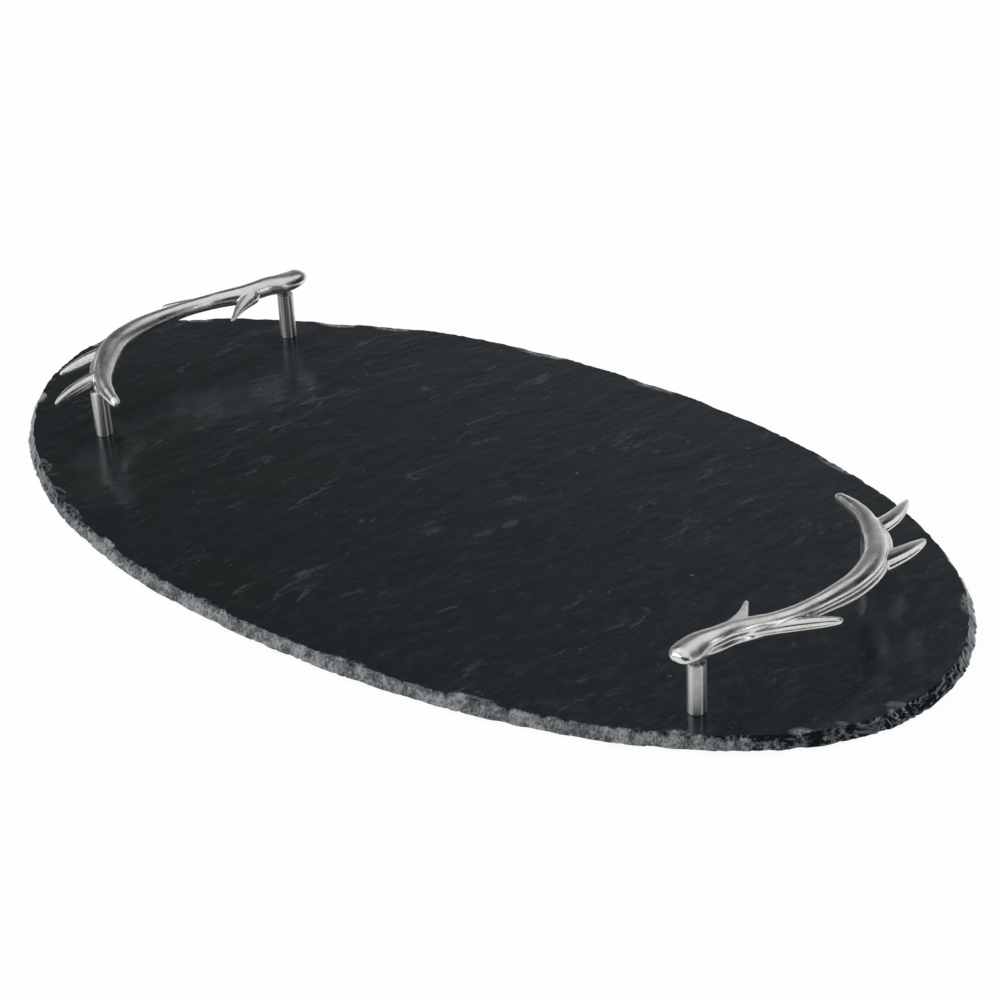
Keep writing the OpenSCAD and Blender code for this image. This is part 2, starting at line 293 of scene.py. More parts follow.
@dataclass(frozen=True)
class RivenSlate(Finish):
    """Cleft slate: near black where it was oiled, and raw grey where its rim is broken."""

    name: str = "riven slate"
    oiled: Colour = (0.0078, 0.0092, 0.0096)
    greenish: Colour = (0.0070, 0.0098, 0.0090)
    bluish: Colour = (0.0092, 0.0096, 0.0125)
    fleck: Colour = (0.066, 0.073, 0.075)
    raw: Colour = (0.042, 0.045, 0.044)
    raw_light: Colour = (0.30, 0.31, 0.30)
    pit: Colour = (0.010, 0.011, 0.011)
    tint: Colour = (0.68, 0.85, 1.0)
    # The oiled face: clouds of two hues, mottle, cleft levels with pale risers, and nicks
    ridge_turn: float = math.radians(8.5)
    ridge_stretch: Numbers = (1.0, 0.38, 1.0)
    clouds: Grain = Grain(9.0, 2.0, 0.55, 0.40, 0.62)
    cloud_share: float = 0.5
    mottle: Grain = Grain(230.0, 5.0, 0.66, 0.45, 0.85)
    mottle_share: float = 0.16
    cleft: Grain = Grain(24.0, 6.0, 0.62)
    cleft_levels: float = 7.0
    riser_share: float = 0.16
    line_share: float = 0.352
    patches: Grain = Grain(95.0, 4.0, 0.7, 0.55, 0.65)
    fleck_share: float = 0.6
    nicks: Grain = Grain(210.0, 3.0, 0.6, 0.655, 0.70)
    nick_share: float = 0.8
    # The broken rim: crumbs and smears of chalky stone, with pits, and its ragged border
    rim_stretch: Numbers = (1.0, 1.0, 0.6)
    crumbs: Grain = Grain(900.0, 6.0, 0.74)
    smears: Grain = Grain(170.0, 5.0, 0.62)
    crumb_share: float = 0.55
    chalk_band: Numbers = (0.42, 0.59)
    pits: Grain = Grain(480.0, 4.0, 0.66, 0.36, 0.43)
    pit_share: float = 0.85
    ragged_share: float = 1.3
    bare_band: Numbers = (0.28, 0.70)
    # Roughness of the dull and the shiny spots of the face and of the rim, and the fine relief
    dull: float = 0.26
    shiny: float = 0.11
    shine_band: Numbers = (0.3, 0.7)
    rough: float = 0.80
    mottle_height: float = 0.9
    riser_height: float = 0.35
    crumb_height: float = 1.4
    depth: float = 0.2 * MM
    strength: float = 0.45

    def face(self, sheet: Sheet, place: Socket) -> tuple[Socket, Socket, Socket]:
        """Colour the oiled face.

        Args:
            sheet: The material's sheet.
            place: The place in metres.

        Returns:
            Its colour, its mottle and its cleft levels.
        """
        tone = sheet.mix(sheet.shown(place, self.clouds), self.greenish, self.bluish)
        tone = sheet.mix(self.cloud_share, self.oiled, tone)
        along = sheet.stretch(place, self.ridge_turn, self.ridge_stretch)
        mottle = sheet.grain(along, self.mottle)
        pale = sheet.band(mottle, self.mottle.low, self.mottle.high, 0.0, self.mottle_share)
        tone = sheet.mix(pale, tone, self.fleck)
        level = sheet.times(sheet.grain(along, self.cleft), self.cleft_levels)
        step = sheet.sum("FRACT", level)
        riser = sheet.band(step, 0.0, self.riser_share)
        line = sheet.times(riser, sheet.band(step, self.riser_share, self.line_share, 1.0, 0.0))
        flecks = sheet.times(line, sheet.shown(along, self.patches, 0.0, self.fleck_share))
        tone = sheet.mix(flecks, tone, self.fleck)
        tone = sheet.mix(sheet.shown(along, self.nicks, 0.0, self.nick_share), tone, self.pit)
        return tone, mottle, sheet.plus(sheet.sum("FLOOR", level), riser)

    def rim(self, sheet: Sheet, place: Socket) -> tuple[Socket, Socket, Socket]:
        """Colour the raw stone of the broken rim.

        Args:
            sheet: The material's sheet.
            place: The place in metres.

        Returns:
            Its colour, its crumbs and how ragged its border is.
        """
        broken = sheet.stretch(place, 0.0, self.rim_stretch)
        crumbs, smears = sheet.grain(broken, self.crumbs), sheet.grain(broken, self.smears)
        chalky = sheet.plus(sheet.times(crumbs, self.crumb_share), sheet.times(smears, 1 - self.crumb_share))
        stone = sheet.mix(sheet.band(chalky, *self.chalk_band), self.raw, self.raw_light)
        stone = sheet.mix(sheet.shown(broken, self.pits, self.pit_share, 0.0), stone, self.pit)
        return stone, crumbs, sheet.sum("SUBTRACT", sheet.plus(crumbs, smears), 1.0)

    def make(self) -> Material:
        """Build the slate's material.

        Returns:
            The material.
        """
        made, sheet, skin, place = self.start()
        tone, mottle, levels = self.face(sheet, place)
        stone, crumbs, ragged = self.rim(sheet, place)
        # The fresh attribute brings in the raw stone colour. Round the rim it also holds painted light: paler
        # where the rim faces the front-left lamps, darker on the shaded right
        fresh = sheet.add("ShaderNodeAttribute", attribute_name="fresh").outputs["Fac"]
        bare = sheet.band(sheet.plus(fresh, sheet.times(ragged, self.ragged_share)), *self.bare_band)
        sheet.join(sheet.mix(bare, tone, stone), skin.inputs["Base Color"])
        shine = sheet.band(mottle, *self.shine_band, self.dull, self.shiny)
        worn = sheet.add("ShaderNodeMapRange", {"Value": bare, "To Min": shine, "To Max": self.rough})
        sheet.join(worn.outputs["Result"], skin.inputs["Roughness"])
        skin.inputs["Specular IOR Level"].default_value = 1.0
        skin.inputs["Specular Tint"].default_value = (*self.tint, 1.0)
        height = sheet.plus(sheet.times(mottle, self.mottle_height), sheet.times(levels, self.riser_height))
        height = sheet.plus(height, sheet.times(sheet.times(crumbs, bare), self.crumb_height))
        sheet.relief(skin, height, self.depth, self.strength)
        return made


@dataclass(frozen=True)
class WhiteMetal(Finish):
    """A nickel coloured metal with the smears and fine scratches of handling."""

    name: str = "cast metal"
    colour: Colour = (0.70, 0.71, 0.69)
    dull: Colour = (0.56, 0.57, 0.54)
    dull_share: float = 0.6
    smooth: float = 0.24
    worn: float = 0.34
    smear_size: float = 90.0
    scratch_size: float = 420.0
    scratch_rough: float = 0.06
    depth: float = 0.02 * MM
    turned: float = 0.0
    quarter_turn: float = 0.25

    def make(self) -> Material:
        """Build the metal's material.

        Returns:
            The material.
        """
        made, sheet, skin, place = self.start()
        sizes = {"Place": place, "Smear size": self.smear_size, "Scratch size": self.scratch_size}
        marks = sheet.add("ShaderNodeGroup", sizes, node_tree=handled_group())
        smear = marks.outputs["Smear"]
        tone = sheet.mix(sheet.times(smear, self.dull_share), self.colour, self.dull)
        sheet.join(tone, skin.inputs["Base Color"])
        rough = sheet.band(smear, 0.0, 1.0, self.smooth, self.worn)
        rough = sheet.plus(rough, sheet.times(marks.outputs["Scratch"], self.scratch_rough))
        sheet.join(rough, skin.inputs["Roughness"])
        skin.inputs["Metallic"].default_value = 1.0
        if self.turned:
            round_it = sheet.add("ShaderNodeTangent", direction_type="RADIAL", axis="Z").outputs["Tangent"]
            sheet.join(round_it, skin.inputs["Tangent"])
            skin.inputs["Anisotropic"].default_value = self.turned
            skin.inputs["Anisotropic Rotation"].default_value = self.quarter_turn
        sheet.relief(skin, marks.outputs["Height"], self.depth)
        return made


@dataclass(frozen=True)
class SoftRubber(Finish):
    """The dark rubber of the feet, with a little dust on it."""

    name: str = "soft rubber"
    colour: Colour = (0.012, 0.012, 0.013)
    dusty: Colour = (0.055, 0.054, 0.052)
    rough: float = 0.62
    dusty_rough: float = 0.8
    dust: Grain = Grain(240.0, 5.0, 0.7, 0.48, 0.75)
    pores: Grain = Grain(1800.0, 2.0)
    depth: float = 0.03 * MM

    def make(self) -> Material:
        """Build the rubber's material.

        Returns:
            The material.
        """
        made, sheet, skin, place = self.start()
        dust = sheet.shown(place, self.dust)
        sheet.join(sheet.mix(dust, self.colour, self.dusty), skin.inputs["Base Color"])
        sheet.join(sheet.band(dust, 0.0, 1.0, self.rough, self.dusty_rough), skin.inputs["Roughness"])
        sheet.relief(skin, sheet.grain(place, self.pores), self.depth)
        return made


# Shapes that more than one piece uses


def smooth_rows(rows: Table, steps: int) -> Array:
    """Run a smooth curve through the rows of a table.

    Args:
        rows: The table, one row to a point.
        steps: How many points each stretch between two rows is given.

    Returns:
        The finer table.
    """
    table = np.asarray(rows, float)
    padded = np.vstack([table[:1], table, table[-1:]])
    made = []
    for i in range(len(table) - 1):
        before, here, after, last = padded[i : i + 4]
        slope = after - before
        bend = 2 * before - 5 * here + 4 * after - last
        twist = 3 * here - before - 3 * after + last
        for t in (k / steps for k in range(steps)):
            made.append((2 * here + slope * t + bend * t**2 + twist * t**3) / 2)
    return np.array([*made, table[-1]])


def lump(x: float, y: float, z: float) -> float:
    """Return smooth noise at a place, from about -1 to 1."""
    return noise.noise(Vector((x, y, z)))


def disc_cells(long: int, wide: int) -> tuple[Array, Array, Array, Array]:
    """Lay a grid of cells over a disc.

    Args:
        long: How many cells the grid has one way.
        wide: How many cells it has the other way.

    Returns:
        Each point's distance from the middle, as a share of the radius, and its turn in degrees,
        the corners of each cell, and the points round the rim in order.
    """
    p, q = np.meshgrid(np.linspace(-1, 1, long + 1), np.linspace(-1, 1, wide + 1), indexing="ij")
    u = (p * np.sqrt(1 - q**2 / 2)).ravel()
    v = (q * np.sqrt(1 - p**2 / 2)).ravel()
    number = np.arange(len(u)).reshape(p.shape)
    corners = [number[:-1, :-1], number[1:, :-1], number[1:, 1:], number[:-1, 1:]]
    loop = np.concatenate([number[:-1, 0], number[-1, :-1], number[:0:-1, -1], number[0, :0:-1]])
    turn = np.degrees(np.arctan2(v, u)) % 360
    return np.minimum(np.hypot(u, v), 1.0), turn, np.stack(corners, axis=-1).reshape(-1, 4), loop


def mesh_piece(name: str, points: Iterable[Numbers], faces: Iterable[Sequence[int]]) -> Piece:
    """Make a mesh object at the origin from points and faces.

    Args:
        name: The piece's name.
        points: The corners, in metres.
        faces: The faces, as numbers of corners.

    Returns:
        The new object.
    """
    mesh = bpy.data.meshes.new(name)
    mesh.from_pydata([tuple(p) for p in points], [], [tuple(f) for f in faces])
    mesh.validate()
    made = bpy.data.objects.new(name, mesh)
    bpy.context.scene.collection.objects.link(made)
    return made


def tidy_faces(piece: Piece) -> None:
    """Point every face outward and shade it smooth.

    Args:
        piece: The piece to tidy.
    """
    work = bmesh.new()
    work.from_mesh(piece.data)
    bmesh.ops.remove_doubles(work, verts=work.verts, dist=1e-7)
    bmesh.ops.recalc_face_normals(work, faces=work.faces)
    for face in work.faces:
        face.smooth = True
    work.to_mesh(piece.data)
    work.free()


def turned_piece(name: str, profile: Table, sides: int, closed: bool) -> Piece:
    """Turn a profile about the upright axis.

    Args:
        name: The piece's name.
        profile: Radius and height of each corner of the profile.
        sides: How many sides the round has.
        closed: Whether the profile closes on itself, as a tube's does.

    Returns:
        The new object, with its axis at the origin.
    """
    points, faces = [], []
    count = len(profile)
    for j in range(sides):
        turn = 2 * math.pi * j / sides
        points += [(r * math.cos(turn), r * math.sin(turn), z) for r, z in profile]
    for j in range(sides):
        here, beside = j * count, (j + 1) % sides * count
        for i in range(count if closed else count - 1):
            up = (i + 1) % count
            faces.append((here + i, beside + i, beside + up, here + up))
    if not closed:
        faces.append([j * count for j in range(sides)][::-1])
        faces.append([j * count + count - 1 for j in range(sides)])
    made = mesh_piece(name, points, faces)
    tidy_faces(made)
    return made


def rounded(corner: Numbers, size: float, start: float, steps: int = 5) -> list[tuple[float, float]]:
    """Points of a quarter round on a profile's outer corner.

    Args:
        corner: Radius and height of the sharp corner.
        size: Radius of the round.
        start: Angle at which the quarter starts, in degrees.
        steps: How many stretches it has.

    Returns:
        Radius and height of each point.
    """
    up = 1 if start == 0 else -1
    middle = (corner[0] - size, corner[1] - size * up)
    angles = [math.radians(start + 90 * k / steps) for k in range(steps + 1)]
    return [(middle[0] + size * math.cos(a), middle[1] + size * math.sin(a)) for a in angles]


def apply_modifiers(piece: Piece) -> None:
    """Turn the piece's modifiers into plain mesh.

    Args:
        piece: The piece that has them.
    """
    graph = bpy.context.evaluated_depsgraph_get()
    graph.update()
    done = bpy.data.meshes.new_from_object(piece.evaluated_get(graph))
    piece.modifiers.clear()
    old = piece.data
    piece.data = done
    bpy.data.meshes.remove(old)


def cut(piece: Piece, cutters: Sequence[Piece]) -> None:
    """Cut closed shapes out of a piece, and drop the cutters.

    Args:
        piece: The piece to cut.
        cutters: The closed shapes.
    """
    for cutter in cutters:
        made = piece.modifiers.new("cut", "BOOLEAN")
        made.operation = "DIFFERENCE"
        made.solver = "MANIFOLD"
        made.object = cutter
    apply_modifiers(piece)
    for cutter in cutters:
        bpy.data.objects.remove(cutter)


def shift(piece: Piece, place: Numbers) -> None:
    """Move a piece's mesh from the origin to a place."""
    piece.data.transform(Matrix.Translation(place))


def drill(piece: Piece, wide: float, narrow: float, heights: Numbers, places: Table) -> None:
    """Drill stepped upright holes.

    Args:
        piece: The piece to drill.
        wide: Radius of the lower stretch.
        narrow: Radius of the upper stretch.
        heights: Where the lower stretch starts, where it ends and where the upper one ends.
        places: Where each hole stands.
    """
    start, step, end = heights
    profile = [(wide, start), (wide, step), (narrow, step), (narrow, end)]
    drills = [turned_piece("drill", profile, DRILL_SIDES, closed=False) for _ in places]
    for made, (x, y) in zip(drills, places):
        shift(made, (x, y, 0))
    cut(piece, drills)


def sharpen(piece: Piece, angle: float) -> None:
    """Shade smooth, with sharp edges where faces meet at more than the angle in degrees."""
    piece.data.shade_smooth()
    piece.data.set_sharp_from_angle(angle=math.radians(angle))


def round_node(node: str) -> tuple[float, float, Vector]:
    """Return a round node's radius, its height and the middle of its lower end, from the frame."""
    low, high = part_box(node)
    return (high.x - low.x) / 2, high.z - low.z, Vector(((low.x + high.x) / 2, (low.y + high.y) / 2, low.z))


def dress(piece: Piece, skin: Material) -> None:
    """Give a piece its material.

    Args:
        piece: The finished piece.
        skin: The material.
    """
    piece.data.materials.clear()
    piece.data.materials.append(skin)
    LOG.info("%s: %d faces", piece.name, len(piece.data.polygons))


def settle(piece: Piece, skin: Material, node: str) -> None:
    """Ride a piece on the board, dress it and let it stand for its node.

    Args:
        piece: The finished piece.
        skin: Its material.
        node: The solid that it stands for.
    """
    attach(piece, "root")
    dress(piece, skin)
    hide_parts(node)


# The slate


def waves(shares: Table, turn: Array) -> Array:
    """Sum waves round the rim, each with its count, share and phase."""
    return sum(share * np.sin(np.radians(count * turn + phase)) for count, share, phase in shares)


def ripple(rows: Table, across: float, along: float) -> float:
    """Sum smooth noise of several sizes, each row with its width, length, seed and height."""
    return sum(height * lump(across / wide, along / long, seed) for wide, long, seed, height in rows)


@dataclass
class Slate:
    """The oval of slate, with its cleft faces, its chipped rim and its screw holes."""

    skin: Material
    holes: Table
    # The outline: a fuller oval than an ellipse, its waves by count, share and phase, and a flat
    power: float = 2.12
    oval_shares: Table = ((2, 0.022, 114), (3, 0.006, 356), (4, 0.009, 170))
    flat_share: float = 0.064
    flat_turn: float = 137.0
    flat_spread: float = 19.0
    # The rim: its slope and its bites, and the degrees between its points
    rim_slope: float = 3.0 * MM
    slope_power: float = 1.15
    chip_depth: float = 0.9 * MM
    chip_shares: Table = ((7, 0.30, 20), (19, 0.28, 140), (33, 0.24, 65), (58, 0.18, 250))
    rim_rings: int = 13
    rim_ease: float = 0.15 * MM
    layer_step: float = 1.8
    edge_step: float = 0.1
    # Its roughness and strata: degrees wide, share of the height or layers, seed and depth
    rim_rough: Table = ((1 / 1.3, 1 / 9, 4, 0.22 * MM),)
    rim_strata: Table = ((2.0, 1 / 3.7, 9, 0.30 * MM),)
    strata_count: int = 6
    # Its small scars, and the least, greatest and power of their turn, half width, level, half height, depth
    scar_count: int = 1100
    scar_depth: float = 0.8 * MM
    scar_seed: int = 11
    scar_spans: Table = ((0, 360, 1), (0.35, 1.1, 2), (-0.1, 1.1, 1), (0.18, 0.60, 1), (0.25, 1.0, 1.5))
    # The cells of the top, its cleft levels, and their ripples by width, length, seed and height
    cells_long: int = 440
    cells_wide: int = 236
    ridge_turn: float = math.radians(8.5)
    step_height: float = 0.06 * MM
    riser_share: float = 0.16
    clefts: Table = ((0.024, 0.075, 5, 2.6), (0.009, 0.030, 8, 1.1), (0.0035, 0.010, 12, 0.45))
    swells: Table = ((0.055, 0.120, 1, 0.16 * MM), (0.0028, 0.0075, 3, 0.012 * MM))
    top_drop: float = 0.32 * MM
    inward_share: float = 0.92
    # The flat seats of the posts, and the fade round them
    post_r: float = 3.9 * MM
    seat_gap: float = 1.5 * MM
    seat_fade: float = 9 * MM
    # The underside: its edge as a share of the rim's, its hollows, and its bores
    inner_share: float = 0.994
    hollows: Table = ((0.03, 0.06, 30, 0.10 * MM),)
    hollow_lift: float = 0.10 * MM
    hollow_edge: float = 0.99
    hollow_fade: float = 0.03
    bore_r: float = 2.15 * MM
    recess_r: float = 4.75 * MM
    recess_depth: float = 2.5 * MM
    over: float = 1 * MM
    sharp_angle: float = 38.0
    # Flakes lost from the top at the rim: turn, half length, reach inward, drop, paleness
    top_scars: Table = (
        (223.0, 7, 4.4, 0.8, 0.25), (231.0, 6, 4.0, 0.7, 0.30), (236.0, 8, 2.6, 0.5, 0.30),
        (134.0, 11, 4.0, 0.7, 0.6), (125.5, 9, 3.5, 0.6, 0.6), (332.6, 6, 3.2, 0.6, 0.55),
        (338.5, 3, 2.6, 0.5, 0.35), (348.0, 7, 4.6, 0.6, 0.35), (22.0, 12, 3.4, 0.6, 0.45),
        (318.0, 5, 2.4, 0.5, 0.4), (245.0, 5, 2.5, 0.4, 0.6), (262.0, 6, 2.2, 0.5, 0.5),
        (281.0, 7, 2.0, 0.4, 0.5), (296.0, 8, 2.4, 0.5, 0.5), (60.0, 9, 3.0, 0.5, 0.4),
        (88.0, 8, 2.5, 0.5, 0.5), (104.0, 9, 3.0, 0.6, 0.6), (155.0, 10, 3.4, 0.6, 0.5),
        (176.0, 8, 3.0, 0.6, 0.5), (200.0, 9, 3.2, 0.6, 0.5),
    )
    flake_share: float = 0.8
    flake_fade: float = 2.0
    # How pale the broken rim is: turn and paleness all round, and patches of it. This is raw stone in part
    # and painted light in part: paler where the rim faces the front-left lamps, darker on the shaded right
    pale_and_painted_light_shares: Table = (
        (0, 0.12), (20, 0.16), (50, 0.18), (75, 0.30), (110, 0.40), (160, 0.34), (190, 0.14), (218, 0.10),
        (227, 0.28), (238, 0.55), (262, 0.85), (300, 0.98), (322, 0.85), (328, 0.45), (334, 0.20),
        (345, 0.14),
    )
    pale_patches: Table = ((2.0, 1.0, 21, 0.35),)
    least_pale: float = 0.04
    floor_pale: float = 0.12
    # The rim's paleness at its upper edge and how it grows downward, and the lip on the top face
    edge_pale: float = 0.38
    pale_growth: float = 1.3
    lip: float = 0.9 * MM
    lip_pale: float = 0.4
    low: Vector = field(init=False)
    high: Vector = field(init=False)
    scars: Array = field(init=False)

    def __post_init__(self) -> None:
        """Take the slate's box from the frame, and draw the small scars."""
        self.low, self.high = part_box("slate_board")
        rng = np.random.default_rng(self.scar_seed)
        spans = self.scar_spans
        self.scars = np.array([rng.uniform(a, b, self.scar_count) ** power for a, b, power in spans])

    def bites(self, turn: Array) -> Array:
        """Return how deep the large bites cut in at each turn."""
        return self.chip_depth * (1 + waves(self.chip_shares, turn)) / 2

    def ring(self, turn: Array, bite: Array) -> Array:
        """Return a ring round the board.

        Args:
            turn: The turn of each point, in degrees.
            bite: How far each point is cut back from the full oval, in metres.

        Returns:
            The ring's points.
        """
        half = (self.high - self.low) / 2
        across, up = np.cos(np.radians(turn)), np.sin(np.radians(turn))
        flat = self.flat_share * np.exp(-(((turn - self.flat_turn) / self.flat_spread) ** 2))
        radius = (np.abs(across) ** self.power + np.abs(up) ** self.power) ** (-1 / self.power)
        radius *= 1 + waves(self.oval_shares, turn) - flat
        return np.stack([radius * (half.x - bite) * across, radius * (half.y - bite) * up], axis=1)

    def fitted(self, points: Array) -> Array:
        """Move and stretch a ring as the lowest layer is, so that it fills the length and width.

        Args:
            points: The ring's points.

        Returns:
            The fitted points.
        """
        turn = np.arange(0.0, 360.0, self.layer_step)
        base = self.ring(turn, self.bites(turn))
        low, high = base.min(axis=0), base.max(axis=0)
        return (points - (low + high) / 2) * np.array((self.high - self.low).xy) / (high - low)

    def scar_bite(self, turn: Array, level: float) -> Array:
        """Return how deep the small scars of the rim bite in at a level.

        Args:
            turn: The turn of each point, in degrees.
            level: 0 at the underside and 1 at the top.

        Returns:
            The bite at each point, in metres.
        """
        place, width, middle, tall, depth = self.scars
        gap = (turn[:, None] - place[None, :] + 180) % 360 - 180
        left = 1 - (gap / width) ** 2 - ((level - middle) / tall) ** 2
        return self.scar_depth * (np.clip(left, 0, None) * depth).max(axis=1)

    def rim(self, turn: Array, level: float) -> Array:
        """Return one ring of the rim.

        Args:
            turn: The turn of each point, in degrees.
            level: 0 at the underside and 1 at the top.

        Returns:
            The ring's points.
        """
        bite = self.rim_slope * level**self.slope_power + self.bites(turn) + self.scar_bite(turn, level)
        layer = round(level * self.strata_count)
        rough = [ripple(self.rim_rough, t, level) + ripple(self.rim_strata, t, layer) for t in turn]
        bite = np.maximum(bite - self.rim_ease + np.array(rough), 0.0)
        return np.clip(self.fitted(self.ring(turn, bite)), self.low.xy, self.high.xy)

    def edge_at(self, turn: Array, level: float) -> Array:
        """Return the rim's point at each of many turns, from one fine ring of it.

        Args:
            turn: The turns, in degrees.
            level: 0 at the underside and 1 at the top.

        Returns:
            The points.
        """
        fine = np.arange(0.0, 360.0, self.edge_step)
        ring = self.rim(fine, level)
        return np.column_stack([np.interp(turn, fine, side, period=360) for side in ring.T])

    def rim_paleness_with_painted_light(self, turn: Array) -> Array:
        """Return how pale the broken rim is: raw stone in part, and painted light in part, paler where it
        faces the front-left lamps and darker on the shaded right.

        Args:
            turn: The turn of each point, in degrees.

        Returns:
            The paleness of each point, from 0 to 1.
        """
        places, shares = np.array(self.pale_and_painted_light_shares).T
        patches = np.interp(turn, np.arange(361), [ripple(self.pale_patches, t, 0.0) for t in range(361)])
        return np.clip(np.interp(turn, places, shares, period=360) + patches, self.least_pale, 1)

    def relief(self, x: float, y: float) -> float:
        """Return how far the cleft top lies below its highest level at a place.

        Args:
            x: Place along the board.
            y: Place across the board.

        Returns:
            The relief in metres, at most 0.
        """
        cosine, sine = math.cos(self.ridge_turn), math.sin(self.ridge_turn)
        across, along = x * cosine - y * sine, x * sine + y * cosine
        cleft = ripple(self.clefts, across, along)
        whole = math.floor(cleft)
        part = min(1.0, (cleft - whole) / self.riser_share)
        stairs = whole + part * part * (3 - 2 * part)
        made = ripple(self.swells, across, along) + self.step_height * stairs - self.top_drop
        near = min(math.hypot(x - hx, y - hy) for hx, hy in self.holes) - self.post_r - self.seat_gap
        return min(0.0, made) * min(1.0, max(0.0, near / self.seat_fade))

    def top_scar(self, turn: Array, inward: Array, arc: Array) -> tuple[Array, Array]:
        """Return the drop and the freshness that lost flakes give the top near the rim.

        Args:
            turn: The turn of each point, in degrees.
            inward: Its distance from the edge, in metres.
            arc: Metres of rim to a degree at each point.

        Returns:
            The drop in metres and the freshness from 0 to 1.
        """
        drop, fresh = np.zeros(len(turn)), np.zeros(len(turn))
        for place, half, reach, depth, pale in self.top_scars:
            gap = ((turn - place + 180) % 360 - 180) * arc
            left = 1 - (gap / (half * MM)) ** 2 - (inward / (reach * MM)) ** 2
            drop = np.maximum(drop, depth * MM * np.sqrt(np.clip(left, 0, 1)) * self.flake_share)
            fresh = np.maximum(fresh, np.clip(left * self.flake_fade, 0, pale))
        return drop, fresh

    def build(self) -> None:
        """Build the slate from its cleft top, its rim and its underside, then drill and dress it."""
        reach, turn, cells, loop = disc_cells(self.cells_long, self.cells_wide)
        edge = self.edge_at(turn, 1.0)
        flat = edge * reach[:, None]
        size = np.hypot(edge[:, 0], edge[:, 1])
        inward = (1 - reach) * size * self.inward_share
        drop, fresh = self.top_scar(turn, inward, size * math.pi / 180)
        top_z = self.high.z + np.array([self.relief(x, y) for x, y in flat]) - drop
        # The pale lip on the top face takes the rim's paleness, and with it the same painted light
        lip = np.clip(1 - inward / self.lip, 0, 1) * self.lip_pale * self.rim_paleness_with_painted_light(turn)
        points, marks = [np.column_stack([flat, top_z])], [np.maximum(fresh, lip)]
        faces = cells.tolist()
        # The rim's paleness holds raw stone and painted light: the front-left that faces the lamps is painted
        # paler, the shaded right darker
        rim_turn, rim_top, paleness = turn[loop], top_z[loop], self.rim_paleness_with_painted_light(turn[loop])
        above, total = loop, len(flat)
        for k in range(1, self.rim_rings + 1):
            level = 1 - k / self.rim_rings
            height = self.low.z + (rim_top - self.low.z) * level
            points.append(np.column_stack([self.rim(rim_turn, level), height]))
            marks.append(paleness * min(1.0, self.edge_pale + self.pale_growth * k / self.rim_rings))
            below = np.arange(total, total + len(loop))
            faces += np.stack([above, below, np.roll(below, -1), np.roll(above, -1)], axis=1).tolist()
            above, total = below, total + len(loop)
        floor_points, floor_faces = self.underside(above, total)
        points.append(floor_points)
        marks.append(np.full(len(floor_points), self.floor_pale))
        made = mesh_piece("slate_riven", np.vstack(points), faces + floor_faces)
        store = made.data.attributes.new("fresh", "FLOAT", "POINT")
        store.data.foreach_set("value", np.concatenate(marks).astype(np.float32))
        heights = (self.low.z - self.over, self.low.z + self.recess_depth, self.high.z + self.over)
        drill(made, self.recess_r, self.bore_r, heights, self.holes)
        sharpen(made, self.sharp_angle)
        settle(made, self.skin, "slate_board")

    def underside(self, above: Array, total: int) -> tuple[Array, list[Sequence[int]]]:
        """Close the board below with a grid of half as many cells each way.

        Args:
            above: The numbers of the lowest ring's points.
            total: How many points there are so far.

        Returns:
            The new points and faces.
        """
        reach, turn, cells, loop = disc_cells(self.cells_long // 2, self.cells_wide // 2)
        reach = reach * self.inner_share
        flat = self.edge_at(turn, 0.0) * reach[:, None]
        lift = self.hollow_lift + np.array([ripple(self.hollows, x, y) for x, y in flat])
        lift = np.clip(lift * np.clip((self.hollow_edge - reach) / self.hollow_fade, 0, 1), 0, None)
        faces = (cells[:, [0, 3, 2, 1]] + total).tolist()
        loop = loop + total
        for i, here in enumerate(loop):
            beside = loop[(i + 1) % len(loop)]
            first, middle, last = above[2 * i], above[2 * i + 1], above[(2 * i + 2) % len(above)]
            faces += [(first, here, middle), (middle, here, beside), (middle, beside, last)]
        return np.column_stack([flat, self.low.z + lift]), faces


# The handles


SLIM = (0.90, 0.98, 0.92, 0.80, 0.60, 0.34, 0.12)
BLUNT = (0.40, 0.60, 0.80, 0.88, 0.80, 0.54, 0.20)
FIN = (0.55, 0.85, 0.70, 0.46, 0.28, 0.18, 0.08)


@dataclass(frozen=True)
class Tine:
    """One tine of a casting, by shares of the casting's own sizes."""

    # Root by pitch, bow and rise, and the tip from there by the reach: along, out and up
    root: Numbers
    aim: Numbers
    # Girth, flatness and sideways bend, and shares of the girth from root to tip
    thick: float
    flat: float
    bend: float
    girths: Numbers
    # How far it reaches below its middle line, and how much of the outer groove it has
    under: float
    groove: float


